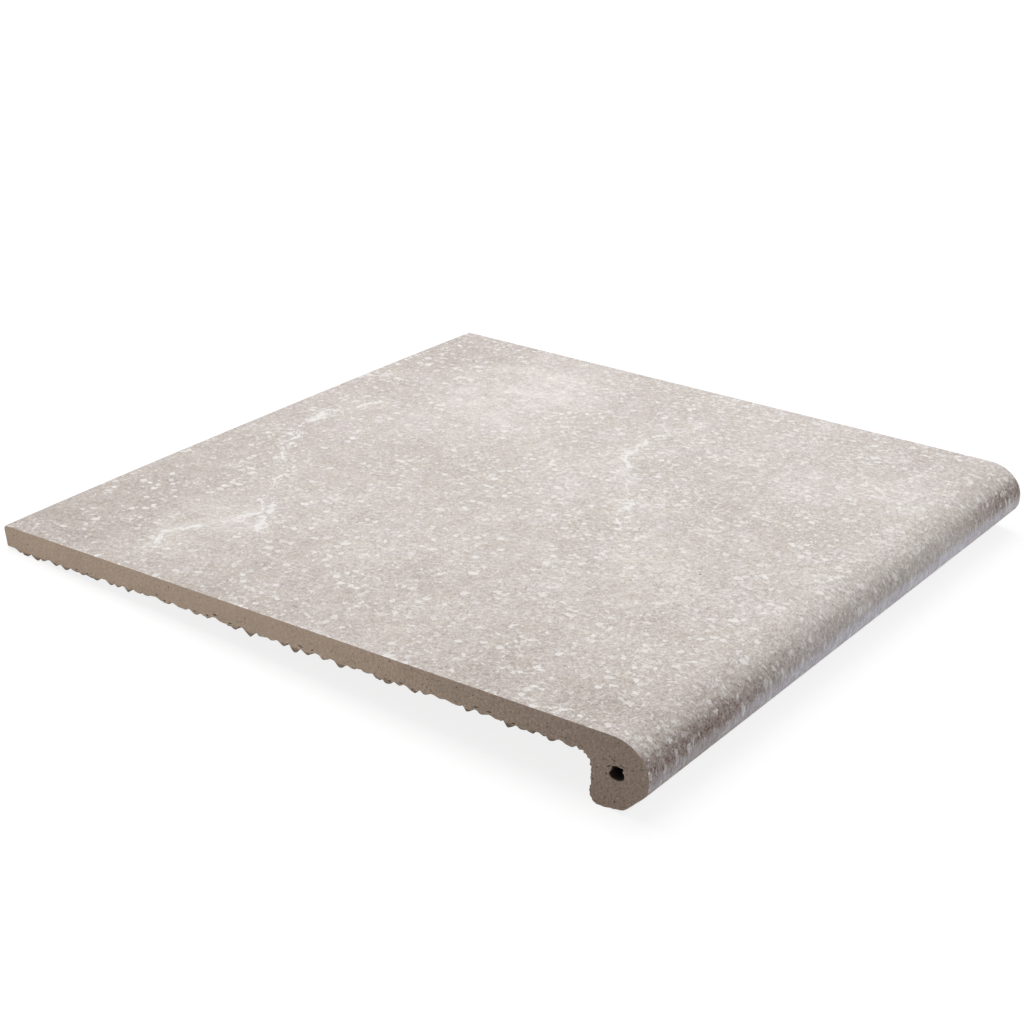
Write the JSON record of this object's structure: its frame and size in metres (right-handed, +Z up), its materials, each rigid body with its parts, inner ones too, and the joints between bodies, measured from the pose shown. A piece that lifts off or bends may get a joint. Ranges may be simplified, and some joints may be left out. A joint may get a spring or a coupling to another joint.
{
  "type": "stair tread tile",
  "caption": "Square-cut ceramic stair tread tile with a rounded downturned nosing, a core hole along the nosing and a ribbed underside.",
  "frame": {"origin": "centre of the bounding box at the floor, under the tile as it lies unheld", "axes": "+X along the nosing, +Y from the nosing to the rear edge, +Z up; the tread face slopes down to the rear by 3.8 degrees because the nosing stands deeper than the slab"},
  "size_m": [0.33, 0.3118, 0.0292],
  "materials": {
    "fired_clay": "satin stone-look glaze on the tread face and nosing, bare fired clay on the cut sides and underside"
  },
  "bodies": {
    "root": {"stair_tread": "fired_clay"}
  },
  "joints": []
}
